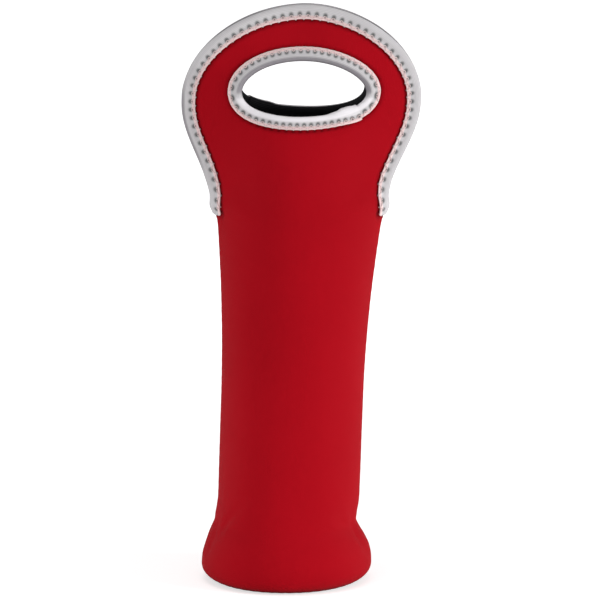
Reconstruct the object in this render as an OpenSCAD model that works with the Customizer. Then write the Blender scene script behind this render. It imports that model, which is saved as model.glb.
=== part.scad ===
// Neoprene carrier for one bottle. A round padded tube stands on a disc base, and its front and
// back panels run on above the side seams as two handle flaps with taped hand holes.
// The origin is the middle of the base on the floor, +Z is up and the front panel faces -Y.

/* [Body] */
// Outer width of the tube, from side seam to side seam
tube_w = 86.8; // [76:0.2:104]
// Outer depth of the tube, from front to back
tube_d = 82.4; // [72:0.2:100]
// Thickness of the neoprene
wall = 3.2; // [2:0.1:5]
// Height at which the side seams end and the flaps part
body_h = 222; // [170:1:280]
// Outer width at the top of the side seams
mouth_w = 100.8; // [80:0.2:116]
// Outer depth at the top of the side seams
mouth_d = 74; // [56:0.2:90]
// Height at which the tube starts to flatten towards its mouth
swell_z = 110; // [60:1:150]

/* [Foot] */
// Outer diameter of the flared foot
foot_w = 104.2; // [90:0.2:124]
// Height up to which the foot keeps its full width
foot_z = 11; // [10:0.5:16]
// Height at which the flare has run out into the tube
foot_h = 36; // [26:1:50]
// Outside radius of the turned bottom corner
corner_r = 9; // [6:0.1:10]

/* [Handle flaps] */
// Width across the taped edges at the narrowest level
neck_w = 108.2; // [90:0.2:124]
// Height of the narrowest level above the side seams
neck_rise = 10; // [6:1:20]
// Width across the taped edges at the widest level
head_w = 144; // [120:0.2:170]
// Height of the widest level above the side seams
head_rise = 74.8; // [60:0.1:90]
// Height below that level over which the flap keeps its full width
head_flat = 3.5; // [0:0.5:8]
// Height of the rounded crown above the widest level
crown_h = 55.2; // [45:0.1:75]
// Height over which the taped edges of the two flaps part
part_rise = 28; // [20:1:34]
// Free space between the taped edges of the two flaps
flap_gap = 3; // [2:0.1:12]
// How far the middle of the crown bulges beyond its edges
crown_bulge = 1; // [0:0.1:6]
// Height of the soft band above the side seams in which a flap folds
fold_h = 36; // [30:0.5:42]
// Clear height between the soft band and the flap above it
fold_gap = 0.3; // [0.2:0.1:1]

/* [Hand holes] */
// Clear width of a hand hole
hole_w = 75.8; // [60:0.1:84]
// Clear height of a hand hole
hole_h = 32.6; // [28:0.2:38]
// Height of the front hole's centre above the side seams
hole_rise = 80.8; // [72:0.2:84]
// Height of the back hole's centre above the side seams
back_hole_rise = 82.2; // [72:0.2:84]
// How far the front hole sits to the right of the middle of its flap
hole_shift = 1.5; // [0:0.1:4]
// How far the back hole sits to the right of the middle of its flap, seen from the front
back_hole_shift = 0.7; // [-4:0.1:4]
// How much fuller a hole is on its left than on its right, seen from outside, as a share of its height
hole_egg_share = 0.05; // [0:0.01:0.3]
// How much lower the two ends of a hole lie than its centre
hole_droop = 3; // [0:0.1:6]

/* [Binding tape] */
// Width of the tape on each face of the panel
tape_w = 8.5; // [6:0.1:10]
// Thickness of one layer of tape
tape_t = 0.8; // [0.5:0.05:1.2]
// Clearance between the tape and the panel
tape_gap = 0.1; // [0.05:0.05:0.3]
// Height above the side seams at which the edge tapes end
tail_rise = 5; // [4:0.5:8]
// Length over which the two ends of a hole's tape overlap
lap_w = 13; // [8:0.5:20]

/* [Thread] */
// Length of one full zigzag stitch
stitch_pitch = 5.2; // [3.5:0.1:8]
// Width of the zigzag stitch
stitch_w = 3; // [2:0.1:4]
// How far the stitch reaches over the tape's inner edge
stitch_bite = 0.5; // [0.2:0.1:1]
// Thickness of the thread
thread_d = 0.7; // [0.4:0.05:1]

/* [Inside seams] */
// Width of the overlocked side seams inside the tube
seam_w = 6; // [4:0.5:9]
// Thickness of the pressed seams
seam_t = 1.6; // [1:0.1:2.4]
// Bare height below and above each side seam
seam_inset = 3; // [2:0.5:6]

/* [Stance] */
// How far the crown leans to the right of the base
side_lean = 11.2; // [0:0.1:14]
// How much further the mouth leans than that
mouth_lean = 1.3; // [0:0.1:3]
// How far the tube has slipped to the left at the top of the foot's flare
foot_slip = 1.6; // [0:0.1:3]

/* [Hidden] */

red = [0.66, 0.06, 0.1];
grey = [0.77, 0.75, 0.76];
pale = [0.9, 0.87, 0.87];
black = [0.09, 0.09, 0.1];

// Levels above the floor
head_z = body_h + head_rise;
top_z = head_z + crown_h;
fold_z = body_h + fold_h;
hole_z = body_h + hole_rise;
back_hole_z = body_h + back_hole_rise;
tail_z = body_h + tail_rise;

// The cut edge of the neoprene lies inside its tape
edge_cover = tape_t + tape_gap;
neck_half = neck_w / 2 - edge_cover;
head_half = head_w / 2 - edge_cover;
crown_cut_h = crown_h - edge_cover;
hole_cut_x = hole_w / 2 + edge_cover;
hole_cut_z = hole_h / 2 + edge_cover;
edge_y = wall + edge_cover + flap_gap / 2;
crown_y = edge_y + crown_bulge;

// The bottom corner as a quarter turn, and the clearance of the base disc and its seam inside it
corner_run = corner_r * PI / 2;
base_r = foot_w / 2 - corner_r;
base_clear = 0.25;

// How fast the fullness of a cross-section falls towards its edges: an ellipse, then a bell
tube_power = 0.5;
mouth_power = 0.8;
flap_power = 1.6;
// Share of the fall from mouth to crown that is even, the rest grows with height
even_fall_share = 0.32;
// The crown is a slightly pointed ellipse
crown_power = 1.86;
// Share of the flare's height over which the foot's slip builds up and runs out
slip_share = 0.65;

// Counts of steps
cols = 20;
corner_steps = 3;
foot_steps = 6;
body_steps = 10;
fold_steps = 12;
flank_steps = 8;
crown_steps = 28;
sill_steps = 14;
ring_steps = 5;
edge_steps = 48;
hole_steps = 40;
tail_steps = 10;
seam_steps = 12;
ring_facets = 96;

function mix(a, b, t) = a + (b - a) * t;
function unit_share(t) = max(0, min(1, t));
function ease(t) = let (c = unit_share(t)) c * c * (3 - 2 * c);
function unit(v) = v / norm(v);
function signed_power(v, p) = sign(v) * pow(abs(v), p);

// Levels along a panel's profile: v starts under the foot and runs round the corner and up
function height(v) = v < corner_run ? corner_r * (1 - cos(90 * v / corner_run)) : corner_r + v - corner_run;
function inset(v) = v < corner_run ? corner_r * (1 - sin(90 * v / corner_run)) : 0;
function level(z) = z - corner_r + corner_run;

// Half width, half depth and edge offset of the outer face at height z
function mouth_sway(z) = z < body_h ? pow(z / body_h, 3) : 1 - ease((z - body_h) / part_rise);
function slip(z) = pow(cos(90 * unit_share(abs(z - foot_h) / ((foot_h - foot_z) * slip_share))), 2);
function lean(z) = side_lean * z / top_z + mouth_lean * mouth_sway(z) - foot_slip * slip(z);
function swell(z) = pow(unit_share((z - swell_z) / (body_h - swell_z)), 2);
function flare(z) = cos(90 * unit_share((z - foot_z) / (foot_h - foot_z)));
function tube_x(z) = mix(mix(tube_w, mouth_w, swell(z)), foot_w, flare(z)) / 2;
function tube_y(z) = mix(mix(tube_d, mouth_d, swell(z)), foot_w, flare(z)) / 2;
function widening(z) =
    (1 - cos(180 * unit_share((z - body_h - neck_rise) / (head_rise - head_flat - neck_rise)))) / 2;
function flank_x(z) = z < body_h + neck_rise
    ? mix(mouth_w / 2, neck_half, ease((z - body_h) / neck_rise))
    : mix(neck_half, head_half, widening(z));
function half_x(z) = z < body_h ? tube_x(z) : flank_x(z);
function fall(z) = let (t = unit_share((z - body_h) / (top_z - body_h)))
    t * mix(t, 1, even_fall_share);
function half_y(z) = z < body_h ? tube_y(z) : mix(mouth_d / 2, crown_y, fall(z));
function rim_y(z) = z < body_h ? 0 : edge_y * (1 - pow(1 - unit_share((z - body_h) / part_rise), 3));
function fullness(z) = z < body_h
    ? mix(tube_power, mouth_power, swell(z))
    : mix(mouth_power, flap_power, ease((z - body_h) / part_rise));

// A point on the front panel's outer face: turn runs from -90 at the left edge to 90 at the right
function skin(turn, v) = let (z = height(v), d = inset(v)) [
    lean(z) + sin(turn) * (half_x(z) - d),
    -rim_y(z) - (half_y(z) - d - rim_y(z)) * pow(max(0, cos(turn)), 2 * fullness(z)),
    z
];

// The wall's thickness there, square to the face, and level with the seam at a sewn edge
facing_angle = 82;
step_angle = 2;
rise_step_share = 0.01;
rise_step = corner_r * rise_step_share;
function sewn(v) = 1 - unit_share((height(v) - body_h) / neck_rise);
function outward(turn, v) = let (
    c = max(-facing_angle, min(facing_angle, turn)),
    low = max(0, v - rise_step)
) unit(cross(skin(c + step_angle, v) - skin(c - step_angle, v), skin(c, v + rise_step) - skin(c, low)));
function thickness(turn, v) = let (n = outward(turn, v), s = sewn(v) * pow(sin(turn), 6))
    wall * [n.x, n.y * (1 - s), n.z];

// The same two for a point given by its place in the front view
function turn_of(p) = asin(max(-1, min(1, (p.x - lean(p.y)) / half_x(p.y))));
function front_skin(p) = skin(turn_of(p), level(p.y));
function front_outward(p) = outward(turn_of(p), level(p.y));
function front_thickness(p) = thickness(turn_of(p), level(p.y));

// Faces of closed shells, as triangles
function quad(a, b, c, d) = [[a, b, c], [a, c, d]];
function sheet_faces(rows, n, start, flip, loop = false) = [
    for (r = [0:rows - 2], c = [0:loop ? n - 1 : n - 2])
        let (a = start + r * n + c, b = start + r * n + (c + 1) % n, e = a + n, f = b + n)
            each flip ? quad(a, e, f, b) : quad(a, b, f, e)
];
function strip_faces(a, b, other_way = false) = [
    for (i = [0:len(a) - 2])
        each other_way ? quad(a[i + 1], b[i + 1], b[i], a[i]) : quad(a[i], a[i + 1], b[i + 1], b[i])
];

// A slab between an outer and an inner grid of points, open at its four borders
module slab(outer, inner) {
    rows = len(outer);
    n = len(outer[0]);
    back = rows * n;
    top = (rows - 1) * n;
    across = [for (c = [0:n - 1]) c];
    along = [for (r = [0:rows - 1]) r * n];
    polyhedron([for (r = outer, p = r) p, for (r = inner, p = r) p], concat(
        sheet_faces(rows, n, 0, true),
        sheet_faces(rows, n, back, false),
        strip_faces(across, [for (c = across) back + c], true),
        strip_faces([for (c = across) back + top + c], [for (c = across) top + c]),
        strip_faces([for (r = along) back + r], along),
        strip_faces([for (r = along) r + n - 1], [for (r = along) back + r + n - 1])
    ));
}

// A slab whose rows are closed loops, with a hole in its middle
module ring_slab(outer, inner) {
    rows = len(outer);
    n = len(outer[0]);
    back = rows * n;
    top = (rows - 1) * n;
    around = [for (c = [0:n]) c % n];
    polyhedron([for (r = outer, p = r) p, for (r = inner, p = r) p], concat(
        sheet_faces(rows, n, 0, true, true),
        sheet_faces(rows, n, back, false, true),
        strip_faces(around, [for (c = around) back + c]),
        strip_faces([for (c = around) back + top + c], [for (c = around) top + c])
    ));
}

// A bar through closed sections, each with the same number of points
module bar(sections, loop) {
    rows = len(sections);
    n = len(sections[0]);
    last = (rows - 1) * n;
    caps = [for (i = [0:n / 2 - 2]) let (j = n - 1 - i) each concat(
        quad(i, i + 1, j - 1, j),
        quad(last + j, last + j - 1, last + i + 1, last + i)
    )];
    closing = [for (c = [0:n - 1]) each quad(last + c, last + (c + 1) % n, (c + 1) % n, c)];
    polyhedron(
        [for (s = sections, p = s) p],
        concat(sheet_faces(rows, n, 0, true, true), loop ? [for (f = closing) [f[2], f[1], f[0]]] : caps)
    );
}

// Points spaced evenly along a line of points
function lengths(pts) = [
    for (i = 0, s = 0; i < len(pts); s = s + (i < len(pts) - 1 ? norm(pts[i + 1] - pts[i]) : 0), i = i + 1) s
];
function run(pts) = let (l = lengths(pts)) l[len(l) - 1];
function even(pts, n) = let (
    l = lengths(pts),
    total = l[len(l) - 1],
    xs = [for (i = [0:len(pts) - 1]) [l[i], pts[i].x]],
    zs = [for (i = [0:len(pts) - 1]) [l[i], pts[i].y]]
) [for (i = [0:n]) [lookup(total * i / n, xs), lookup(total * i / n, zs)]];

// Lines in the front view, as [x, z]
function flank(side, low, high, n) = [
    for (i = [0:n]) let (z = mix(low, high, i / n)) [lean(z) + side * half_x(z), z]
];
function crown() = [
    for (i = [1:crown_steps - 1]) let (
        a = 180 * i / crown_steps,
        z = head_z + crown_cut_h * pow(sin(a), 2 / crown_power)
    ) [lean(z) + head_half * signed_power(cos(a), 2 / crown_power), z]
];
function back_to_front(pts) = [for (i = [len(pts) - 1:-1:0]) pts[i]];
function flap_edge(low) = concat(
    flank(1, low, head_z, flank_steps), crown(), back_to_front(flank(-1, low, head_z, flank_steps))
);
function sill() = [
    for (i = [1:sill_steps - 1])
        [lean(fold_z) + half_x(fold_z) * sin(mix(-90, 90, i / sill_steps)), fold_z]
];

// The two panels are alike, each seen from its own outside. So in the front view the back hole is
// the other way round: way is 1 for the front hole and -1 for the back one.
function hole_mid(way) = let (z = way > 0 ? hole_z : back_hole_z)
    [lean(z) + (way > 0 ? hole_shift : back_hole_shift), z];
function hole_point(a, way) = hole_mid(way)
    + [way * hole_cut_x * cos(a),
       hole_cut_z * sin(a) * (1 - hole_egg_share * cos(a)) - hole_droop * pow(cos(a), 2)];
function hole_facing(p, way) = let (d = p - hole_mid(way))
    hole_point(atan2(d.y / hole_cut_z, way * d.x / hole_cut_x), way);

// A hole's tape starts and ends at the lower right, where its last stretch rides over its first
front_lap_angle = -68;
back_lap_angle = -56;
lap_ramp_angle = 12;
function lap_start(way) = way > 0 ? front_lap_angle : back_lap_angle;
function lap_angle(way) = lap_w / (hole_cut_x * abs(sin(lap_start(way)))) * 180 / PI;
function lap_lift(a) = (tape_t + tape_gap) * unit_share((a - 360 + lap_ramp_angle) / lap_ramp_angle);
function thread_lift(a, way) = a < lap_angle(way) ? lap_lift(360) : lap_lift(a);

// Directions in the front view from a cut edge onto the panel
function turned(d) = [-d.y, d.x];
function onto_flap(pts, i) = let (
    n = len(pts) - 1,
    d = turned(unit(pts[min(n, i + 1)] - pts[max(0, i - 1)]))
) i == 0 || i == n ? [1 / d.x, 0] : d;
direction_angle = 4;
function off_hole(a, way) =
    -way * turned(unit(hole_point(a + direction_angle, way) - hole_point(a - direction_angle, way)));

// How much longer a step across the panel is than it looks from the front
function step_length(p, d) = norm(front_skin(p + d * tape_w / 2) - front_skin(p)) / (tape_w / 2);
// A place near a cut edge: in is the distance onto the panel, out the height above the outer face
function near_edge(p, d, in, out) = let (
    q = in > 0 ? p + d * in / step_length(p, unit(d)) : p,
    beyond = in < 0 ? unit(front_skin(p + d * tape_w / 2) - front_skin(p)) * in * norm(d) : [0, 0, 0],
    t = front_thickness(q)
) front_skin(q) + beyond + (out >= -wall / 2 ? unit(t) * max(out, out * norm(t) / wall)
                                              : -t + unit(t) * (out + wall));

// The folded tape's section: round its outside, then back along its inside
tape_mid_share = 0.5;
tape_side_share = 0.25;
function tape_section(p, d, lift = 0) = let (
    low = tape_gap + lift,
    top = low + tape_t,
    side = -top,
    mid = tape_w * tape_mid_share,
    near = -wall * tape_side_share,
    far = -wall * (1 - tape_side_share),
    outside = [
        [tape_w, top], [mid, top], [0, top], [side, near], [side, far],
        [0, -wall - top], [mid, -wall - top], [tape_w, -wall - top]
    ],
    inside = [
        [tape_w, -wall - low], [mid, -wall - low], [-low, -wall - low], [-low, far],
        [-low, near], [-low, low], [mid, low], [tape_w, low]
    ]
) [for (s = concat(outside, inside)) near_edge(p, d, s.x, s.y)];

module edge_tape_along(pts) {
    bar([for (i = [0:len(pts) - 1]) tape_section(pts[i], onto_flap(pts, i))], false);
}

function in_order(pts, way) = way > 0 ? pts : back_to_front(pts);

module hole_tape(way) {
    bar(in_order([for (i = [hole_steps:-1:0]) let (
        a = (360 + lap_angle(way)) * i / hole_steps,
        b = a + lap_start(way)
    ) tape_section(hole_point(b, way), off_hole(b, way), lap_lift(a))], way), false);
}

// A zigzag thread over the tape's inner edge
function zigzag_in(i) = i % 2 == 0 ? tape_w - stitch_w : tape_w + stitch_bite;
function zigzag_out(i) = i % 2 == 0 ? tape_gap + tape_t : tape_gap + tape_t / 2;
// The thread's section widens at a turn as a mitre does, at most to one over this share
mitre_share = 0.5;
function thread_section(a, b, c, n) = let (
    r = thread_d / 2,
    along = unit(c - a),
    leg = unit(norm(b - a) > 0 ? b - a : c - b),
    side = unit(cross(n, along)) / max(abs(along * leg), mitre_share)
) [b + side * r, b + n * r, b - side * r, b - n * r];
function thread_sections(pts, ns, loop) = let (n = len(pts)) [
    for (i = [0:n - 1]) let (
        a = loop ? pts[(i + n - 1) % n] : pts[max(0, i - 1)],
        c = loop ? pts[(i + 1) % n] : pts[min(n - 1, i + 1)]
    ) thread_section(a, pts[i], c, ns[i])
];

module edge_thread_along(line) {
    n = 2 * max(2, round(run(line) / stitch_pitch));
    pts = even(line, n);
    used = [for (i = [1:n - 1]) i];
    bar(thread_sections(
        [for (i = used) near_edge(pts[i], onto_flap(pts, i), zigzag_in(i), zigzag_out(i))],
        [for (i = used) front_outward(pts[i])], false
    ), false);
}

module hole_stitches(way) {
    turn = [for (i = [0:hole_steps]) 360 * i / hole_steps];
    spaced = lengths([for (a = turn) hole_point(a + lap_start(way), way)]);
    n = 2 * max(4, round(spaced[hole_steps] / stitch_pitch));
    table = [for (i = [0:hole_steps]) [spaced[i], turn[i]]];
    turns_used = in_order([for (i = [0:n - 1]) lookup(spaced[hole_steps] * i / n, table)], way);
    bar(thread_sections(
        [for (i = [0:n - 1]) let (a = turns_used[i], b = a + lap_start(way))
            near_edge(hole_point(b, way), off_hole(b, way),
                zigzag_in(i), zigzag_out(i) + thread_lift(a, way))],
        [for (a = turns_used) front_outward(hole_point(a + lap_start(way), way))], true
    ), true);
}

// Rows of the body panel, from under the foot to the top of the side seams
function body_levels() = concat(
    [for (i = [0:corner_steps]) corner_run * i / corner_steps],
    [for (i = [1:foot_steps]) mix(corner_run, level(foot_h), i / foot_steps)],
    [for (i = [1:body_steps]) mix(level(foot_h), level(body_h), i / body_steps)]
);
function fold_levels() = [
    for (i = [0:fold_steps]) mix(level(body_h), level(fold_z - fold_gap), i / fold_steps)
];
function turns() = [for (c = [0:cols]) mix(-90, 90, c / cols)];
function outer_rows(levels) = [for (v = levels) [for (t = turns()) skin(t, v)]];
function inner_rows(levels) = [for (v = levels) [for (t = turns()) skin(t, v) - thickness(t, v)]];

module panel() {
    slab(outer_rows(body_levels()), inner_rows(body_levels()));
}

module fold_band() {
    slab(outer_rows(fold_levels()), inner_rows(fold_levels()));
}

module flap(way) {
    edge = concat(flap_edge(fold_z), sill());
    rings = [
        for (j = [0:ring_steps]) [for (p = edge) mix(p, hole_facing(p, way), j / ring_steps)]
    ];
    ring_slab(
        [for (r = rings) [for (p = r) front_skin(p)]],
        [for (r = rings) [for (p = r) front_skin(p) - front_thickness(p)]]
    );
}

module edge_tape() {
    edge_tape_along(even(flap_edge(fold_z), edge_steps));
}

module tape_tails() {
    edge_tape_along(flank(1, tail_z, fold_z - fold_gap, tail_steps));
    edge_tape_along(back_to_front(flank(-1, tail_z, fold_z - fold_gap, tail_steps)));
}

module tail_stitches() {
    high = fold_z - fold_gap - tape_w / 2;
    edge_thread_along(flank(1, tail_z, high, tail_steps));
    edge_thread_along(back_to_front(flank(-1, tail_z, high, tail_steps)));
}

module edge_stitches() {
    edge_thread_along(flap_edge(fold_z));
}

// A pressed seam down the inside of one edge of the body
module side_seam(side) {
    low = level(corner_r + seam_inset);
    high = level(body_h - seam_inset);
    bar([for (i = [0:seam_steps]) let (
        v = mix(low, high, i / seam_steps),
        p = skin(90 * side, v) - thickness(90 * side, v),
        depth = [side * seam_t, 0, 0],
        half = [0, side * seam_w / 2, 0]
    ) [p - half, p + half, p + half - depth, p - half - depth]], false);
}

module front_panel() { color(red) panel(); }
module back_panel() { color(red) mirror([0, 1, 0]) panel(); }
module base_panel() { color(red) cylinder(h = wall, r = base_r - base_clear, $fn = ring_facets); }
module left_side_seam() { color(black) side_seam(-1); }
module right_side_seam() { color(black) side_seam(1); }
module base_seam() {
    color(black) translate([0, 0, wall]) rotate_extrude($fn = ring_facets)
        translate([base_r - seam_w, 0]) square([seam_w - base_clear, seam_t]);
}

module front_fold() { color(red) fold_band(); }
module back_fold() { color(red) mirror([0, 1, 0]) fold_band(); }
module front_tape_tails() { color(grey) tape_tails(); }
module back_tape_tails() { color(grey) mirror([0, 1, 0]) tape_tails(); }
module front_tail_stitches() { color(pale) tail_stitches(); }
module back_tail_stitches() { color(pale) mirror([0, 1, 0]) tail_stitches(); }

module front_handle() { color(red) flap(1); }
module front_edge_tape() { color(grey) edge_tape(); }
module front_hole_tape() { color(grey) hole_tape(1); }
module front_edge_stitches() { color(pale) edge_stitches(); }
module front_hole_stitches() { color(pale) hole_stitches(1); }

module back_handle() { color(red) mirror([0, 1, 0]) flap(-1); }
module back_edge_tape() { color(grey) mirror([0, 1, 0]) edge_tape(); }
module back_hole_tape() { color(grey) mirror([0, 1, 0]) hole_tape(-1); }
module back_edge_stitches() { color(pale) mirror([0, 1, 0]) edge_stitches(); }
module back_hole_stitches() { color(pale) mirror([0, 1, 0]) hole_stitches(-1); }

front_panel();
back_panel();
base_panel();
left_side_seam();
right_side_seam();
base_seam();
front_fold();
back_fold();
front_tape_tails();
back_tape_tails();
front_tail_stitches();
back_tail_stitches();
front_handle();
front_edge_tape();
front_hole_tape();
front_edge_stitches();
front_hole_stitches();
back_handle();
back_edge_tape();
back_hole_tape();
back_edge_stitches();
back_hole_stitches();
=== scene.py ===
# %% [markdown]
# A bottle carrier, sewn from thick neoprene. Two panels, cut alike, are joined by a seam down each
# side and round a disc at the foot. Above the seams each panel runs on as a flap with an oval hand
# hole, and every cut edge that shows is bound in a folded grey tape, held by a zigzag.
#
# The imported model gives the frame: its meshes are kept in place, with their transforms baked into
# their points, and its other objects are removed.

# %% Load the imported model
import math

import bmesh
import bpy
import numpy as np
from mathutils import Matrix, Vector


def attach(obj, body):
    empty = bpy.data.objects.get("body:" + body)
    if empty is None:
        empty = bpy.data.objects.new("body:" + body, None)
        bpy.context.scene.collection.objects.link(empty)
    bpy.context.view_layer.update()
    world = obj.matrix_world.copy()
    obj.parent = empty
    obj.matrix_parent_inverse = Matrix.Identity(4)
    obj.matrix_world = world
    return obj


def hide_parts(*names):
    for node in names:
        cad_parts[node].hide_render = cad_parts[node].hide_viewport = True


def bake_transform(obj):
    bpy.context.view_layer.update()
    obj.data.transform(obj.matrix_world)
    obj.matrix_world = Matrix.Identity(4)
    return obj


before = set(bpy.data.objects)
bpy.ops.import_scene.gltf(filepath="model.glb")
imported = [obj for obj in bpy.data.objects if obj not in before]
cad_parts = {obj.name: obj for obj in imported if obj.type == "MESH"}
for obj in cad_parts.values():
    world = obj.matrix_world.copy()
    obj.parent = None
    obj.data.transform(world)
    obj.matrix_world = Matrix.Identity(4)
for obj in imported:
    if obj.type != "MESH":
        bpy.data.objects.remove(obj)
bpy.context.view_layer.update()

# %% [markdown]
# Sizes first, as a pattern maker would list them: real sizes in metres. Everything that follows is
# worked out from them.

# %% Sizes of the bag
mm = 0.001


def in_mm(*values):
    return [value * mm for value in values]


tube_w, tube_d, wall, body_h = in_mm(86.8, 82.4, 3.2, 222)
mouth_w, mouth_d, swell_z = in_mm(100.8, 74, 110)
foot_w, foot_z, foot_h, corner_r = in_mm(104.2, 11, 36, 9)
neck_w, neck_rise, head_w, head_rise, crown_h = in_mm(108.2, 10, 144, 74.8, 55.2)
part_rise, flap_gap, crown_bulge, head_flat = in_mm(28, 3, 1, 3.5)
side_lean, mouth_lean, foot_slip, tail_rise = in_mm(11.2, 1.3, 1.6, 2)
side_lift, lift_reach, flare_reach = in_mm(1.6, 30, 16)
slip_share = 0.65

# Two panels alike: the back one is the front one turned round, so its way is -1
sides = {1: "front", -1: "back"}
hole_w, hole_h, hole_droop = in_mm(75.8, 32.6, 3)
hole_rise, hole_shift = {1: 80.8 * mm, -1: 82.2 * mm}, {1: 1.5 * mm, -1: 0.7 * mm}
hole_egg_share = 0.05

# Tape and thread
edge_tape_w, hole_tape_w, tape_t, tape_gap, lap_w = in_mm(8.0, 7.1, 0.8, 0.1, 13)
edge_pitch, hole_pitch, stitch_w, stitch_bite, thread_d = in_mm(5.5, 4.0, 2.9, 0.12, 0.55)
lap_turn = {1: math.radians(-60), -1: math.radians(-56)}

head_z = body_h + head_rise
top_z = head_z + crown_h
hole_z = {way: body_h + rise for way, rise in hole_rise.items()}
tail_z = body_h + tail_rise
edge_cover = tape_t + tape_gap
neck_half = neck_w / 2 - edge_cover
head_half = head_w / 2 - edge_cover
crown_cut_h = crown_h - edge_cover
hole_cut_x = hole_w / 2 + edge_cover
hole_cut_z = hole_h / 2 + edge_cover
edge_y = wall + edge_cover + flap_gap / 2
crown_y = edge_y + crown_bulge
base_r = foot_w / 2 - corner_r
print("seams end at", round(body_h / mm, 1), "mm, crown at", round(top_z / mm, 1), "mm")

# %% [markdown]
# The camera comes first, because it says which details show. It stood well back with a long lens, a
# little above the bag: the foot shows the curve of its underside, and the front hole shows a
# crescent of the back flap's lining.

# %% Camera
camera_at, camera_aim = (8.6 * mm, -2.2, 512 * mm), (8.6 * mm, 0, 172 * mm)
focal_px, picture_px, sensor_mm = 3672, 600, 36


def facing(at, aim):
    """The rotation of a camera or a lamp that looks from one point at another."""
    return (Vector(aim) - Vector(at)).to_track_quat("-Z", "Y").to_euler()


def fresh(name):
    """Names the object that an operator has just made."""
    obj = bpy.context.object
    obj.name = name
    return obj


bpy.ops.object.camera_add(location=camera_at, rotation=facing(camera_at, camera_aim))
camera = fresh("camera")
camera.data.sensor_width = sensor_mm
camera.data.lens = focal_px / picture_px * sensor_mm
camera.data.clip_end = 60
bpy.context.scene.camera = camera
print("lens:", round(camera.data.lens, 1), "mm")

# %% [markdown]
# The form of the bag. Neoprene has a form of its own only where it is stretched, so the panel is
# one smooth skin: round along the sleeve, flared over the foot's disc, squeezed flat above the side
# seams. The skin is a formula, a point for each turn round the bag (-90 degrees at the left seam, 90
# at the right one) and each length v up the cut. Every piece uses it, which keeps the panel, its
# tape and its thread together without any fitting.


# %% The skin of the bag
def mix(a, b, t):
    return a + (b - a) * t


def clamp(t):
    return np.clip(t, 0.0, 1.0)


def ease(t):
    t = clamp(t)
    return t * t * (3 - 2 * t)


def unit(v):
    return v / np.maximum(np.linalg.norm(v, axis=-1, keepdims=True), 1e-12)


corner_run = corner_r * math.pi / 2
tube_power, mouth_power, flap_power, crown_power = 0.5, 0.8, 1.6, 1.86
even_fall_share = 0.32


def level(z):
    """How far up the cut a height on the bag lies."""
    return z - corner_r + corner_run


def height(v):
    """The height on the bag of a place on the cut, past the foot's corner."""
    return np.where(v < corner_run, corner_r * (1 - np.cos(v / corner_r)), corner_r + v - corner_run)


def inset(v):
    return corner_r * (1 - np.sin(np.minimum(v, corner_run) / corner_r))


def lean(z):
    """How far right of the base a level lies: the mouth sways out and the foot's flare slips back."""
    sway = np.where(z < body_h, (z / body_h) ** 3, 1 - ease((z - body_h) / part_rise))
    slip = np.cos(math.pi / 2 * clamp(np.abs(z - foot_h) / ((foot_h - foot_z) * slip_share))) ** 2
    return side_lean * z / top_z + mouth_lean * sway - foot_slip * slip


def swell(z):
    """0 on the tube and 1 at the mouth."""
    return clamp((z - swell_z) / (body_h - swell_z)) ** 2


def tube_half(z, size, mouth, flare):
    return mix(mix(size, mouth, swell(z)), foot_w, flare) / 2


def side_flare(z):
    """At the seams the cloth folds sharply over the foot."""
    return np.cos(math.pi / 2 * clamp((z - foot_z) / (foot_h - foot_z)))


def front_flare(z):
    """In the middle of a panel the same flare runs out softly."""
    return 0.5 + 0.5 * np.cos(math.pi * clamp((z - foot_z) / (foot_h + flare_reach - foot_z)))


def half_x(z):
    rise = z - body_h
    widening = (1 - np.cos(math.pi * clamp((rise - neck_rise) / (head_rise - head_flat - neck_rise)))) / 2
    neck = mix(mouth_w / 2, neck_half, ease(rise / neck_rise))
    flank = np.where(rise < neck_rise, neck, mix(neck_half, head_half, widening))
    return np.where(rise < 0, tube_half(z, tube_w, mouth_w, side_flare(z)), flank)


def half_y(z):
    t = clamp((z - body_h) / (top_z - body_h))
    fall = t * mix(t, 1, even_fall_share)
    above = mix(mouth_d / 2, crown_y, fall)
    return np.where(z < body_h, tube_half(z, tube_d, mouth_d, front_flare(z)), above)


def rim_y(z):
    return np.where(z < body_h, 0, edge_y * (1 - (1 - clamp((z - body_h) / part_rise)) ** 3))


def fullness(z):
    above = mix(mouth_power, flap_power, ease((z - body_h) / part_rise))
    return np.where(z < body_h, mix(tube_power, mouth_power, swell(z)), above)


def foot_lift(sideways, v):
    """The seams pull the two sides of the foot a little off the ground."""
    return side_lift * sideways ** 4 * (1 - ease(v / lift_reach))


def skin(turn, v):
    z, d = height(v), inset(v)
    bow = np.maximum(np.cos(turn), 0) ** (2 * fullness(z))
    x = lean(z) + np.sin(turn) * (half_x(z) - d)
    y = -rim_y(z) - (half_y(z) - d - rim_y(z)) * bow
    return np.stack(np.broadcast_arrays(x, y, z + foot_lift(np.sin(turn), v)), axis=-1)


# %% [markdown]
# The real panel was cut flat. A point of the cut is (s, v): s to the side of the middle line, v up
# from the foot. Sewing up sends it to the place on the skin that lies as far round the bag as s. A
# fine table holds these distances, and every piece looks its places and directions up in it.


# %% From the flat cut to the bag
def run_along(points):
    """The distance run along each line of points, from its first one."""
    steps = np.linalg.norm(np.diff(points, axis=-2), axis=-1)
    return np.concatenate([np.zeros_like(steps[..., :1]), np.cumsum(steps, axis=-1)], axis=-1)


quarter = np.linspace(0, math.pi / 2, 91)
v_top = level(top_z) + 3 * mm
v_lines = np.linspace(0, v_top, 721)
share_lines = np.linspace(-1, 1, 241)
runs = run_along(skin(quarter, v_lines[:, None]))
turn_table = np.array([np.interp(np.abs(share_lines) * r[-1], r, quarter) for r in runs])
form_table = skin(turn_table * np.sign(share_lines), v_lines[:, None])
facing_table = unit(np.cross(np.gradient(form_table, axis=1), np.gradient(form_table, axis=0)))


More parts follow.
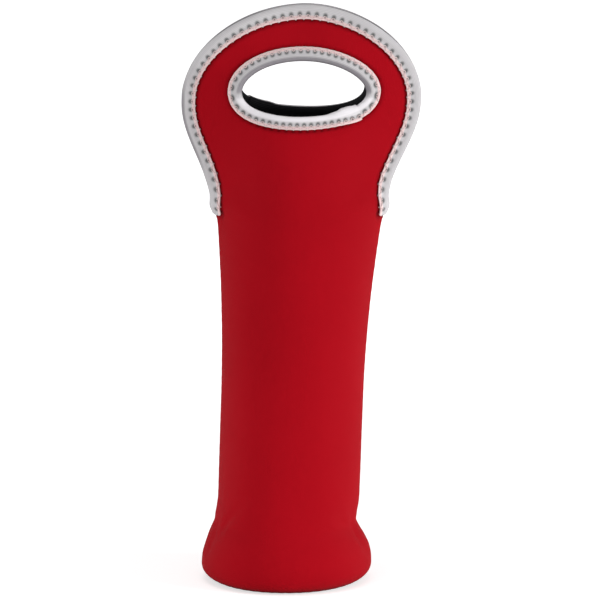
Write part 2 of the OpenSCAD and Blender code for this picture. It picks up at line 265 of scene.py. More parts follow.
def girth_half(v):
    """The way from the middle of the panel to its side seam at v."""
    return np.interp(v, v_lines, runs[:, -1])


def look_up(table, s, v):
    """A value of a table at points of the cut, between its lines."""
    row = np.clip(v / v_lines[1], 0, len(v_lines) - 1.001)
    col = (np.clip(s / girth_half(v), -1, 1) + 1) / 2 * (len(share_lines) - 1)
    col = np.minimum(col, len(share_lines) - 1.001)
    r, c = row.astype(int), col.astype(int)
    a, b = (row - r)[:, None], (col - c)[:, None]
    low, high = [mix(table[k, c], table[k, c + 1], b) for k in (r, r + 1)]
    return mix(low, high, a)


def across(dx, z):
    """The s of a point that is seen from the front dx beside the middle line, at height z."""
    turn = np.arcsin(np.clip(np.abs(dx) / half_x(z), 0, 1))
    row = level(z) / v_lines[1]
    low, above = row.astype(int), np.mod(row, 1)
    s = [mix(np.interp(t, quarter, runs[r]), np.interp(t, quarter, runs[r + 1]), b)
         for t, r, b in zip(turn, low, above)]
    return np.sign(dx) * np.array(s)


girths = girth_half(level(np.array([foot_z, swell_z, body_h])))
print("half girth at foot, tube and mouth, mm:", np.round(girths / mm, 1))

# %% [markdown]
# Cloth is never quite even. The foam gives a little where the tube flares over the foot and under
# the hand hole, and the sleeve has long, soft waves. These moves of a millimetre or so are kept as
# one field that every piece on the panel asks. It fades out at the side seams, where panels meet.

# %% Soft waves and creases
# Each crease: where it lies (share of the half girth, height), half length, half width, turn, depth
front_creases = [
    (-0.66, 37, 15, 3.0, 42, 1.3), (-0.80, 29, 12, 2.6, 60, 1.1), (0.78, 30, 13, 2.8, -56, 1.2),
    (0.62, 38, 13, 3.6, -35, 0.8), (-0.30, 38, 22, 6.0, 6, 0.4), (0.20, 37, 20, 6.0, -6, 0.35),
    (-0.55, 236, 20, 5.0, -38, 0.5), (0.58, 240, 18, 5.0, 36, 0.5), (0.05, 262, 30, 6.0, 2, 0.35),
]
back_creases = [
    (0.62, 34, 14, 3.4, -44, 0.9), (-0.74, 30, 12, 3.2, 50, 0.8), (0.10, 38, 24, 6.0, 4, 0.4),
    (-0.50, 238, 19, 5.0, -34, 0.5), (0.52, 241, 20, 5.0, 40, 0.5),
]
creases = {1: front_creases, -1: back_creases}
wave_seed = {1: 3, -1: 8}
wave_lengths, wave_share, wave_slant = (95 * mm, 60 * mm, 38 * mm, 24 * mm), 0.0032, 0.6
side_fade, foot_fade = 10 * mm, 12 * mm


def soft(s, v, way):
    """How far a panel stands out of its plain form at points of the cut."""
    draws = np.random.default_rng(wave_seed[way])
    out = np.zeros(len(s))
    for length in wave_lengths:
        turn, phase = draws.uniform(0, math.pi, 2)
        along = s * math.cos(turn) + v * math.sin(turn) * wave_slant
        out += length * wave_share * np.sin(math.tau * along / length + phase * 2)
    for place, z, run, width, turn, depth in creases[way]:
        x, y = s - place * girth_half(level(z * mm)), v - level(z * mm)
        c, d = math.cos(math.radians(turn)), math.sin(math.radians(turn))
        a, b = (x * c + y * d) / (run * mm), (y * c - x * d) / (width * mm)
        out -= depth * mm * np.exp(-a * a - b * b)
    return out * ease((girth_half(v) - np.abs(s)) / side_fade) * ease((v - corner_run) / foot_fade)


def surface(s, v, up, way):
    """The point that lies up above a panel's outer face, or under it with up below zero."""
    return look_up(form_table, s, v) + look_up(facing_table, s, v) * (up + soft(s, v, way))[:, None]


# %% [markdown]
# Two lines on the cut carry all the sewing: the outer edge of the flap and the edge of its hand
# hole. A line knows the distance run along it and the direction from the edge onto the panel. The
# flap's flank follows the skin's own edge, its crown is a slightly pointed ellipse, and the hole is
# an oval whose ends hang a little, as the tape draws them down.


# %% The lines of the cut
class CutLine:
    def __init__(self, dx, z, side, closed, way, tape, pitch):
        self.side, self.closed, self.way, self.tape = side, closed, way, tape
        self.points = np.column_stack([across(dx, z), level(z)])
        self.run = run_along(self.points)
        self.length = self.run[-1]
        self.stitches = round(self.length / pitch)
        self.pitch = self.length / self.stitches

    def at(self, u):
        u = np.mod(u, self.length) if self.closed else u
        return np.column_stack([np.interp(u, self.run, self.points[:, k]) for k in (0, 1)])

    def onto(self, u):
        """Square to the edge onto the panel, and level at the ends of an open line."""
        d = unit(self.at(u + mm) - self.at(u - mm))
        n = self.side * np.column_stack([-d[:, 1], d[:, 0]])
        if not self.closed:
            near_end = 1 - ease(np.minimum(u, self.length - u) / (3 * mm))
            n = mix(n, np.column_stack([np.sign(n[:, 0]), np.zeros(len(n))]), near_end[:, None])
        return unit(n)


def edge_line(way):
    flank = np.linspace(tail_z, head_z, 90)
    a = np.linspace(0, math.pi, 361)[1:-1]
    crown_z = head_z + crown_cut_h * np.sin(a) ** (2 / crown_power)
    crown_x = head_half * np.sign(np.cos(a)) * np.abs(np.cos(a)) ** (2 / crown_power)
    z = np.concatenate([flank, crown_z, flank[::-1]])
    dx = np.concatenate([half_x(flank), crown_x, -half_x(flank[::-1])])
    return CutLine(dx, z, 1, False, way, edge_tape_w, edge_pitch)


def hole_line(way):
    a = np.linspace(0, math.tau, 481) + lap_turn[way]
    egg = 1 - hole_egg_share * np.cos(a)
    z = hole_z[way] + hole_cut_z * np.sin(a) * egg - hole_droop * np.cos(a) ** 2
    dx = lean(hole_z[way]) + hole_shift[way] + way * hole_cut_x * np.cos(a) - lean(z)
    return CutLine(dx, z, -way, True, way, hole_tape_w, hole_pitch)


lines = {"edge": {way: edge_line(way) for way in sides}, "hole": {way: hole_line(way) for way in sides}}
for part, line in lines.items():
    print(part, "of the front, mm:", round(line[1].length / mm), " stitches:", line[1].stitches)

# %% [markdown]
# A few hand tools that every step uses. An operator acts on all that is selected, so one object is
# always picked alone before work on it starts.


# %% Hand tools
def pick(obj, *others):
    if bpy.context.object is not None and bpy.context.object.mode != "OBJECT":
        bpy.ops.object.mode_set(mode="OBJECT")
    bpy.ops.object.select_all(action="DESELECT")
    for o in (obj, *others):
        o.select_set(True)
    bpy.context.view_layer.objects.active = obj
    return obj


def read(items, name, width=1, kind=float):
    """One value of every item of a mesh."""
    values = np.empty(len(items) * width, kind)
    items.foreach_get(name, values)
    return values.reshape(-1, width) if width > 1 else values


def points_of(obj):
    return read(obj.data.vertices, "co", 3)


def corners_of(obj):
    return read(obj.data.loops, "vertex_index", kind=np.int32)


def area_of(obj):
    return sum(p.area for p in obj.data.polygons)


def move_points(obj, co):
    obj.data.vertices.foreach_set("co", np.ascontiguousarray(co, float).ravel())
    obj.data.update()


def note(obj, name, values):
    """Keeps three numbers a point, for later steps and for the materials."""
    kept = obj.data.attributes.get(name) or obj.data.attributes.new(name, "FLOAT_VECTOR", "POINT")
    kept.data.foreach_set("vector", np.ascontiguousarray(values, np.float32).ravel())


def noted(obj, name):
    return read(obj.data.attributes[name].data, "vector", 3, np.float32).astype(float)


def add_uv(obj, name, plane):
    """A UV map in metres, from two numbers a point."""
    layer = obj.data.uv_layers.get(name) or obj.data.uv_layers.new(name=name)
    layer.data.foreach_set("uv", np.ascontiguousarray(plane[corners_of(obj)], np.float32).ravel())


def apply(obj, kind, **settings):
    """Adds one modifier with its settings and applies it."""
    pick(obj)
    modifier = obj.modifiers.new(kind.title(), kind)
    for name, value in settings.items():
        setattr(modifier, name, value)
    bpy.ops.object.modifier_apply(modifier=modifier.name)


def edit(obj, *steps):
    """Runs operators in edit mode on the whole mesh."""
    pick(obj)
    bpy.ops.object.mode_set(mode="EDIT")
    bpy.ops.mesh.select_all(action="SELECT")
    for step in steps:
        step()
    bpy.ops.object.mode_set(mode="OBJECT")


def smooth(obj, angle=50):
    pick(obj)
    bpy.ops.object.shade_smooth_by_angle(angle=math.radians(angle))


def choose(kind, wanted):
    """In edit mode: selects only the verts, edges or faces that are wanted."""
    bpy.ops.mesh.select_all(action="DESELECT")
    data = bpy.context.object.data
    made = bmesh.from_edit_mesh(data)
    for part in getattr(made, kind):
        if wanted(part):
            part.select = True
    if kind == "verts":
        made.select_flush_mode()
    bmesh.update_edit_mesh(data)


def face_outwards():
    bpy.ops.mesh.normals_make_consistent(inside=False)


def grid(name, across_n, along_n):
    """A grid primitive, and the column and the row of each of its points."""
    bpy.ops.mesh.primitive_grid_add(x_subdivisions=across_n, y_subdivisions=along_n, size=1)
    obj = fresh(name)
    return obj, *np.rint((points_of(obj)[:, :2] + 0.5) * (across_n, along_n)).astype(int).T


def lay_flat(obj, place, up=0):
    move_points(obj, np.column_stack([place, np.full(len(place), up)]))


def thread_along(name, points, thick, sides, closed=False, caps=False):
    """A round thread: a curve with a bevel, turned into a mesh."""
    data = bpy.data.curves.new(name, "CURVE")
    data.dimensions, data.bevel_depth, data.bevel_resolution = "3D", thick / 2, sides
    data.use_fill_caps = caps
    spline = data.splines.new("POLY")
    spline.points.add(len(points) - 1)
    spline.points.foreach_set("co", np.column_stack([points, np.ones(len(points))]).ravel())
    spline.use_cyclic_u = closed
    obj = bpy.data.objects.new(name, data)
    bpy.context.scene.collection.objects.link(obj)
    pick(obj)
    bpy.ops.object.convert(target="MESH")
    return obj


# %% [markdown]
# The panel is laid out flat, as on a cutting table. One outline could be filled, but a fill gives
# long thin faces that crease when the cloth bends. So it is pieced from three grids of even squares:
# the sleeve, a strip along the flap's edge and a ring round the hole. The strips are as wide as the
# tape, which gives the sewing lines their own rows of points. The opening left between them is
# closed by bridging its two borders, and then relaxed. The ring is held up while it is bridged, so
# that the two borders face each other, and is pressed flat afterwards.

# %% Cut the panel flat
strip_shares = np.array([0, 0.15, 0.32, 0.52, 0.75, 1])
strip_n = len(strip_shares) - 1
edge_n, sill_n, rows_n, rings_n = 130, 30, 89, 8
v_tail, held_up = level(tail_z), 40 * mm
near, hair = 0.05 * mm, 0.1 * mm
line_samples, batch = 1600, 4000

# The sleeve's columns: a narrow strip along each seam, and even columns between them
column_share = np.concatenate([[-1] * strip_n, np.linspace(-1, 1, sill_n + 1), [1] * strip_n])
column_inset = np.concatenate([strip_shares[:-1], np.ones(sill_n + 1), strip_shares[-2::-1]])


def strip(name, line, count, up=0):
    """A strip of the panel along a line, as wide as its tape."""
    obj, i, j = grid(name, count, strip_n)
    u = line.length * i / count
    lay_flat(obj, line.at(u) + line.onto(u) * (line.tape * strip_shares[j])[:, None], up)
    return obj


def distance_to(line, flat):
    """For points of the cut: the run along a line to the nearest place on it, and the distance."""
    u = np.linspace(0, line.length, line_samples)
    at = line.at(u)
    found = []
    for some in np.array_split(flat[:, :2], len(flat) // batch + 1):
        d = np.linalg.norm(some[:, None] - at, axis=2)
        found.append([u[d.argmin(1)], d.min(1)])
    return np.concatenate(found, axis=1)


def cut_panel(name, way):
    edge, hole = [line[way] for line in lines.values()]
    sleeve, i, j = grid(name, 2 * strip_n + sill_n, rows_n)
    v = v_tail * j / rows_n
    s = column_share[i] * (girth_half(v) - column_inset[i] * edge_tape_w)
    lay_flat(sleeve, np.column_stack([s, v]))
    edge_strip = strip("edge_strip", edge, edge_n)
    pick(sleeve, edge_strip, strip("hole_ring", hole, edge_n + sill_n, held_up))
    bpy.ops.object.join()

    def where():
        """Each point's place, and how far it lies past the strips and above the sleeve."""
        verts = bmesh.from_edit_mesh(sleeve.data).verts
        verts.index_update()
        at = np.array([v.co[:] for v in verts])
        past_edge, past_hole = [distance_to(line, at)[1] - line.tape for line in (edge, hole)]
        return at, past_edge, past_hole, at[:, 1] - v_tail

    def bridge():
        bpy.ops.mesh.remove_doubles(threshold=near)
        at, past_edge, past_hole, above = where()
        inner = (np.abs(past_edge) < hair) | (np.abs(past_hole) < hair)
        inner |= (np.abs(above) < hair) & (np.abs(at[:, 0]) < girth_half(v_tail) - edge.tape + hair)
        choose("edges", lambda e: e.is_boundary and all(inner[v.index] for v in e.verts))
        bpy.ops.mesh.bridge_edge_loops(number_cuts=rings_n - 1, interpolation="LINEAR")
        bpy.ops.mesh.select_all(action="SELECT")
        bpy.ops.transform.resize(value=(1, 1, 0), center_override=(0, 0, 0))

    def relax():
        _, past_edge, past_hole, above = where()
        free = (past_edge > hair) & (past_hole > hair) & (above > hair)
        choose("verts", lambda v: free[v.index])
        bpy.ops.mesh.vertices_smooth(factor=0.5, repeat=60)
        choose("faces", lambda f: f.normal.z < 0)
        bpy.ops.mesh.flip_normals()

    edit(sleeve, bridge, relax)
    print(name, "cut:", len(sleeve.data.polygons), "faces,", round(area_of(sleeve) * 1e4), "cm2")
    return sleeve


# %% [markdown]
# Sewing up. Each point of the flat panel goes to its place on the skin. The cloth gets its thickness
# inwards, and one level of subdivision rounds the cut edges as foam rounds under a needle. Last come
# the waves and creases, which need the finer mesh, and the press of the needle: both faces move
# towards each other beside a line of stitches, and each seam draws the face in to a fine groove with
# small puckers across.

# %% Sew up the panels
groove_depth, groove_reach, pucker_pitch, pucker_depth, pucker_reach = in_mm(0.7, 1.2, 6.3, 0.12, 5)
foot_pucker, foot_pucker_reach, press_depth, press_reach, join_gap = in_mm(0.28, 6, 0.6, 1.5, 0.03)
between_share, hole_share = 0.75, 1.1
# The last of these moves the side seams farther off in the jersey's painted shade, so they get less of it
# than the foot.
ripple_depth, ripple_reach, tail_fade, side_shade_offset = in_mm(0.15, 3.5, 4, 6)
wobble_share, wobble_long, wobble_short, sewn_fade = 0.25, *in_mm(8.3, 3.1, 2)
side_drift, side_drift_run, foot_drift, foot_drift_run = 2, 21 * mm, 1.7, 17 * mm


def drawn_in(off, beat, pucker, reach, wobble=1):
    """How deep a seam draws the face in, off to its side: a groove with puckers across."""
    groove = groove_depth * wobble * np.exp(-off / groove_reach)
    return groove + pucker * (1 + np.cos(beat)) / 2 * np.exp(-off / reach)


def seam_press(s, v):
    """How deep the side seam and the foot's seam draw the outer face in."""
    wobble = 1 + wobble_share * np.sin(v / wobble_short) * np.sin(v / wobble_long)
    sewn = ease((level(body_h) - v) / sewn_fade + 0.5)
    side_beat = math.tau * v / pucker_pitch + side_drift * np.sin(v / side_drift_run)
    foot_beat = math.tau * s / pucker_pitch + foot_drift * np.sin(s / foot_drift_run)
    side = drawn_in(girth_half(v) - np.abs(s), side_beat, pucker_depth, pucker_reach, wobble)
    return side * sewn + drawn_in(v, foot_beat, foot_pucker, foot_pucker_reach)


def stitch_press(stitch, beyond):
    """How deep a zigzag presses the panel beyond the tape's edge, most at its needle holes."""
    beat = (1 + np.cos(math.tau * (stitch - 0.5))) / 2
    line = press_depth * np.exp(-((beyond - stitch_bite) / press_reach) ** 2)
    ripple = ripple_depth * beat * np.exp(-np.abs(beyond - stitch_bite) / ripple_reach)
    return line * mix(between_share, hole_share, beat) + ripple * (beyond > 0)


def sew_panel(obj, way):
    s, v, _ = points_of(obj).T
    # The third number kept is the distance to the nearest seam, for the painted shade that darkens the
    # jersey towards the seams and most of all along the foot's lower edge.
    from_seams = np.minimum(2 * (girth_half(v) - np.abs(s)) + side_shade_offset, v)
    note(obj, "flat_cut", np.column_stack([s, v, from_seams]))
    add_uv(obj, "flat_cut", np.column_stack([s, v]))
    move_points(obj, look_up(form_table, s, v))
    apply(obj, "SOLIDIFY", thickness=wall, offset=-1, use_even_offset=True)
    apply(obj, "SUBSURF", levels=1, render_levels=1)
    s, v, _ = noted(obj, "flat_cut").T
    press = seam_press(s, v)
    in_reach = ease(1 - (v_tail - v) / tail_fade)
    for part in lines:
        line = lines[part][way]
        u, away = distance_to(line, np.column_stack([s, v]))
        beyond = away - line.tape
        note(obj, f"{part}_stitch", np.column_stack([u / line.pitch, beyond, in_reach]))
        press += stitch_press(u / line.pitch, beyond) * in_reach
    co, out = points_of(obj), look_up(facing_table, s, v)
    under = clamp(((look_up(form_table, s, v) - co) * out).sum(1) / wall)
    co += out * (soft(s, v, way) - press * (1 - 2 * under))[:, None]
    sewn = co[:, 2] < body_h + sewn_fade
    co[sewn, 1] = np.minimum(co[sewn, 1], -join_gap)
    move_points(obj, co)
    if way < 0:
        turn_round(obj)
    smooth(obj)
    print(obj.name, "sewn:", len(obj.data.polygons), "faces")


def turn_round(obj):
    """Mirrors a finished piece from the front to the back."""
    edit(obj, lambda: bpy.ops.transform.resize(value=(1, -1, 1), center_override=(0, 0, 0)), face_outwards)


panels, panel_area = {}, {}
for way, side in sides.items():
    panels[way] = cut_panel(f"{side}_neoprene", way)
    panel_area[way] = area_of(panels[way])
    sew_panel(panels[way], way)

# %% [markdown]
# The binding is a strip of knitted tape, folded over the cut edge. It puffs up between its fold and
# the stitches, dips at each needle hole, laps over itself at the hole and ends in a slanted tongue
# at the seams. So it is a flat grid, folded point by point: a is the distance onto the panel, b the
# height from the middle of the wall, and the nose between the two leaves is a rounded square.

# %% Fold the tape over the edges
leaf_n, nose_n, step_u = 10, 9, 0.75 * mm
puff, puff_back, edge_roll, roll_reach, scallop = in_mm(0.5, 0.6, 0.3, 1.3, 0.05)
needle_dip, needle_reach, nose_from, lap_ramp, meeting = in_mm(0.35, 0.9, 2.2, 7, 0.1)
tail_cut, tail_round, tail_puff, tail_reach = in_mm(2.6, 2.6, 2.1, 15)
# Among these: the height below a hole's middle and the fade where its tape's fold turns from painted
# highlight to painted shade, and the height, reach and share of the painted shade on the fold along a
# flap's left flank.
fold_shade_below, fold_shade_fade, flank_shade_z, flank_shade_reach, lap_askew = in_mm(5, 8, 278, 25, 0.9)
nose_power, flank_shade_share = 3, 0.8
lap_reach, lap_start, lap_stop = {1: 1.0 * mm, -1: 0}, 4 * mm, 6 * mm


def tape_section(width):
    """Across the tape: a, b, the outward direction in that plane and the run from the fold."""
    reach, rise = nose_from + edge_cover, wall / 2 + edge_cover
    leaf = np.linspace(width, nose_from, leaf_n + 1)
    t = np.linspace(math.pi / 2, -math.pi / 2, nose_n + 2)[1:-1]
    nose_a = nose_from - reach * np.cos(t) ** (2 / nose_power)
    nose_b = rise * np.sign(np.sin(t)) * np.abs(np.sin(t)) ** (2 / nose_power)
    a = np.concatenate([leaf, nose_a, leaf[::-1]])
    b = np.concatenate([np.full(leaf_n + 1, rise), nose_b, np.full(leaf_n + 1, -rise)])
    d = unit(np.column_stack([np.gradient(a), np.gradient(b)]))
    run = run_along(np.column_stack([a, b]))
    return a, b, d[:, 1], -d[:, 0], run - run[-1] / 2


def beside(line, u, a, b):
    """A point near a cut edge, a onto the panel and b out from the middle of its wall."""
    edge, onto = line.at(u), line.onto(u)
    point = surface(*(edge + onto * np.maximum(a, 0)[:, None]).T, b - wall / 2, line.way)
    at_edge, at_probe = [surface(*p.T, np.zeros(len(u)), line.way) for p in (edge, edge + onto * mm)]
    return point - unit(at_edge - at_probe) * np.minimum(a, 0)[:, None]


def tape_rise(line, stitch, a):
    """How far the tape's face stands out of its plain section."""
    needle = line.tape - stitch_w
    body = puff * np.sin(math.pi * clamp((a + puff_back) / needle)) ** 1.2
    beat = (1 + np.cos(math.tau * stitch)) / 2
    hole = needle_dip * beat ** 3 * np.exp(-((a - needle) / needle_reach) ** 2)
    roll = edge_roll * clamp(1 - (line.tape - a) / roll_reach) ** 2
    return body - hole - roll


def lap_lift(line, u):
    """The last stretch of a hole's tape rides over its first."""
    return edge_cover * ease((u - line.length + lap_ramp) / lap_ramp) if line.closed else np.zeros(len(u))


def fold_tape(name, line):
    """One tape. Where the two panels part, their tapes press flat against each other."""
    a0, b0, na, nb, run = tape_section(line.tape)
    length = line.length + (lap_w if line.closed else 0)
    along_n = round(length / step_u)
    obj, i, j = grid(name, along_n, len(a0) - 1)
    share, a, b = i / along_n, a0[j], b0[j]
    if line.closed:
        u = share * length
        askew = lap_askew * ease((u - line.length) / lap_w)
        out = lap_reach[line.way] * ease((u - line.length) / lap_start) * ease((length - u) / lap_stop)
    else:
        askew = 0
        onto = clamp(a / line.tape)
        cut = tail_cut * (1 - onto) ** 1.4 + tail_round * onto ** 5
        u = mix(cut, length - cut, share)
        out = tail_puff * ease(1 - np.minimum(u, length - u) / tail_reach)
    stitch = u / line.pitch
    leaf = a > nose_from
    wave = scallop * np.cos(math.tau * (stitch - 0.5)) * clamp(1 - (line.tape - a) / stitch_w) ** 2
    rise = tape_rise(line, stitch, a) + lap_lift(line, u)
    nose = clamp(1 - a / nose_from)
    place = beside(line, u, a + na[j] * rise + (wave + askew) * leaf - out * nose, b + nb[j] * rise)
    move_points(obj, place)
    # The third number kept says where the tape's fold gets painted light: round a hole it runs from -1, a
    # painted highlight, below to 1, painted shade, above; on an edge tape it is painted shade on the left
    # flank.
    if line.closed:
        fold_shade = mix(-1, 1, ease((place[:, 2] - hole_z[line.way] + fold_shade_below) / fold_shade_fade + 0.5))
    else:
        in_reach = ease(1.5 - np.abs(place[:, 2] - flank_shade_z) / flank_shade_reach)
        fold_shade = flank_shade_share * in_reach * (place[:, 0] < 0)
    note(obj, "stitch", np.column_stack([stitch, run.max() - np.abs(run[j]), fold_shade]))
    add_uv(obj, "tape", np.column_stack([u, run[j]]))
    if line.side > 0:
        edit(obj, bpy.ops.mesh.flip_normals)
    apply(obj, "SOLIDIFY", thickness=tape_t, offset=-1)
    co = points_of(obj)
    co[:, 1] = np.minimum(co[:, 1], -meeting)
    move_points(obj, co)
    if line.way < 0:
        turn_round(obj)
    smooth(obj, 60)
    print(name, "tape:", round(length / mm), "mm long,", len(obj.data.polygons), "faces")
    return obj, (run[-1] - run[0], length)


tapes, tape_flats = {}, {}
for part, pair in lines.items():
    for way, side in sides.items():
        name = f"{side}_{part}_binding"
        tapes[name], tape_flats[name] = fold_tape(name, pair[way])

# %% [markdown]
# The zigzag is a lockstitch: a pale thread outside and a black one inside, caught together in each
# needle hole. A thread dives into a hole beside the tape, climbs over the tape's edge, lies on the
# tape and dives again. A curve with a round bevel is the quickest way to such a line, and it is
# turned into a mesh.

# %% Sew the zigzags
leg_shares = np.array([0, 0.1, 0.25, 0.5, 0.75, 0.9])
leg_rise = np.array([-2.6, -0.4, 0.8, 1.0, 0.8, -0.4])
end_rise, end_clear = -0.9, {"edge": 5 * mm, "hole": 0}
bed_reach, bed_fade = 0.8 * mm, 1.1 * mm


def zigzag(name, line, face, clear):
    """A zigzag over the tape's inner edge: face is 1 outside the bag and -1 inside."""
    first, last = math.ceil(2 * clear / line.pitch), math.floor(2 * (line.length - clear) / line.pitch)
    if line.closed:
        last = first + 2 * line.stitches
    step = np.arange(first, last)
    t = (step[:, None] + leg_shares[None, :]).ravel()
    lift = np.tile(leg_rise, len(step))
    if not line.closed:
        t, lift = np.append(t, last), np.append(lift, end_rise)
    u = t * line.pitch / 2
    fold = np.abs(np.mod(t, 2) - 1)
    a = mix(line.tape + stitch_bite, line.tape - stitch_w, fold)
    on_tape = edge_cover + tape_rise(line, t / 2, a)
    on_panel = -stitch_press(t / 2, a - line.tape)
    bed = mix(on_tape, on_panel, ease((a - line.tape + bed_reach) / bed_fade))
    if line.closed:
        over = np.where(u < lap_w, edge_cover, lap_lift(line, u))
        bed = bed + over * (1 - ease((a - line.tape) / stitch_bite))
    place = beside(line, u, a, face * (wall / 2 + bed + lift * thread_d / 2))
    obj = thread_along(name, place, thread_d, 2, line.closed, not line.closed)
    if line.way < 0:
        turn_round(obj)
    smooth(obj, 70)
    return obj


threads = {}
for way, side in sides.items():
    for face, word in ((1, "thread"), (-1, "bobbin_thread")):
        for part, pair in lines.items():
            name = f"{side}_{part}_{word}"
            threads[name] = zigzag(name, pair[way], face, end_clear[part])
print("threads:", {name: len(obj.data.polygons) for name, obj in threads.items()})

# %% [markdown]
# The foot is closed by a disc of the same neoprene. It starts as a filled circle that is inset ring
# by ring, so that the rim has points to press: its rim is drawn up into the seam with the same small
# puckers as the panels.

# %% The disc of the foot
disc_points, rim_clear, rim_puckers = 128, 0.1 * mm, 46
bpy.ops.mesh.primitive_circle_add(vertices=disc_points, radius=base_r - rim_clear, fill_type="NGON")
disc = fresh("foot_disc")


def disc_rings():
    for width in in_mm(1.0, 1.2, 1.8, 3.0, 5.0, 8.0, 10.0):
        bpy.ops.mesh.inset(thickness=width, depth=0)
    bpy.ops.mesh.poke()


edit(disc, disc_rings, face_outwards)
flat = points_of(disc)
note(disc, "flat_cut", np.column_stack([flat[:, :2], base_r - np.hypot(flat[:, 0], flat[:, 1])]))
add_uv(disc, "flat_cut", flat[:, :2])
if disc.data.polygons[0].normal.z > 0:
    edit(disc, bpy.ops.mesh.flip_normals)
apply(disc, "SOLIDIFY", thickness=wall, offset=-1)
apply(disc, "SUBSURF", levels=1, render_levels=1)
co = points_of(disc)
r, a = np.hypot(co[:, 0], co[:, 1]), np.arctan2(co[:, 1], co[:, 0])
from_rim = np.maximum(base_r - rim_clear - r, 0)
drawn = drawn_in(from_rim, rim_puckers * a + 2 * np.sin(3 * a), foot_pucker, foot_pucker_reach)
co[:, 2] += drawn * np.where(co[:, 2] < wall / 2, 1, -1) + foot_lift(co[:, 0] / base_r, 0)
move_points(disc, co)
smooth(disc)
print("disc:", len(disc.data.polygons), "faces, lowest point", round(co[:, 2].min() / mm, 2), "mm")

# %% [markdown]
# Inside, the raw edges of each seam are overlocked: pressed together into a padded ridge that a
# black thread loops round and round, one helix each. A side ridge is a cylinder laid along its seam
# and squashed to an oval; the ring in the foot is an oval spun round the middle.

# %% Overlocked seams
seam_w, seam_t, seam_inset, ring_inset = in_mm(6, 1.6, 3, 0.4)
loop_pitch, loop_d, ridge_step = in_mm(2.6, 0.45, 2)
loop_points, loop_pinch, ridge_sides, ridge_power = 14, 0.08, 20, 0.8


def oval(angle, over=0.0):
    """The ridge's section: across the seam, and up from the wall it lies on."""
    c, s = np.cos(angle), np.sin(angle)
    wide = np.sign(c) * np.abs(c) ** ridge_power * (seam_w / 2 + over)
    return wide, seam_t / 2 + np.sign(s) * np.abs(s) ** ridge_power * (seam_t / 2 + over)


def seam_place(side, v, wide, up):
    """A point on a side ridge: v along it, wide across it and up from the inner face."""
    face = look_up(form_table, side * girth_half(v), v)
    return face + np.column_stack([-side * (wall + up), wide, np.zeros(len(v))])


def ring_place(turn, wide, up):
    r = base_r - seam_w / 2 - ring_inset + wide
    return np.column_stack([r * np.cos(turn), r * np.sin(turn), wall + up + foot_lift(np.cos(turn), 0)])


def wind(ridge, length, place):
    """Winds the thread round a ridge in whole turns, as a helix, and joins the two."""
    count = round(length / loop_pitch)
    t = np.linspace(0, count, count * loop_points + 1)
    points = place(t / count, *oval(math.tau * t, loop_d / 2))
    pick(ridge, thread_along(ridge.name + "_loops", points, loop_d, 1))
    bpy.ops.object.join()
    smooth(ridge, 60)
    ridges[ridge.name] = ridge


def spin_ring():
    bpy.ops.mesh.spin(steps=144, angle=math.tau, center=(0, 0, 0), axis=(0, 0, 1))
    bpy.ops.mesh.select_all(action="SELECT")
    bpy.ops.mesh.remove_doubles(threshold=0.01 * mm)


ridges = {}
seam_low, seam_high = level(corner_r + seam_inset), level(body_h - seam_inset)
along_n = round((seam_high - seam_low) / ridge_step)
for side, name in ((-1, "left_overlock"), (1, "right_overlock")):
    bpy.ops.mesh.primitive_cylinder_add(vertices=ridge_sides, radius=1, depth=2, end_fill_type="TRIFAN")
    ridge = fresh(name)
    edit(ridge, lambda: choose("edges", lambda e: abs(e.verts[0].co.z - e.verts[1].co.z) > 1),
         lambda: bpy.ops.mesh.subdivide(number_cuts=along_n - 1))
    co = points_of(ridge)
    wide, up = oval(np.arctan2(co[:, 1], co[:, 0]))
    centre = np.hypot(co[:, 0], co[:, 1]) < 0.5
    wide[centre], up[centre] = 0, seam_t / 2
    v = mix(seam_low, seam_high, (co[:, 2] + 1) / 2)
    pinch = 1 - loop_pinch * (1 + np.cos(math.tau * (v - seam_low) / loop_pitch)) / 2
    move_points(ridge, seam_place(side, v, wide * pinch, up * pinch))
    edit(ridge, face_outwards)
    wind(ridge, seam_high - seam_low,
         lambda t, wide, up: seam_place(side, mix(seam_low, seam_high, t), wide, up))

bpy.ops.mesh.primitive_circle_add(vertices=ridge_sides, radius=1)
ring = fresh("foot_overlock")
co = points_of(ring)
move_points(ring, ring_place(np.zeros(len(co)), *oval(np.arctan2(co[:, 1], co[:, 0]))))
edit(ring, spin_ring, face_outwards)
wind(ring, math.tau * (base_r - seam_w / 2),
     lambda t, wide, up: ring_place(math.tau * t, wide, up))
print("ridges:", {name: len(obj.data.polygons) for name, obj in ridges.items()})

# %% [markdown]
# Materials are written as sums. A small class holds a socket, so that Python's own signs add the
# Math nodes, and one method adds any other node from its type, its settings and its inputs.


# %% A short way to write node materials
class Wire:
    def __init__(self, finish, socket):
        self.finish, self.socket = finish, socket

    def sum(self, operation, *values):
        inputs = dict(enumerate((self, *values)))
        return self.finish.node("ShaderNodeMath", {"operation": operation}, inputs)

    def __add__(self, other):
        return self.sum("ADD", other)

    def __sub__(self, other):
        return self.sum("SUBTRACT", other)

    def __rsub__(self, other):
        return self * -1 + other

    def __mul__(self, other):
        return self.sum("MULTIPLY", other)

    def __truediv__(self, other):
        return self.sum("DIVIDE", other)

    def __rtruediv__(self, other):
        return self ** -1 * other

    def __pow__(self, other):
        return self.sum("POWER", other)

    __radd__ = __add__
    __rmul__ = __mul__


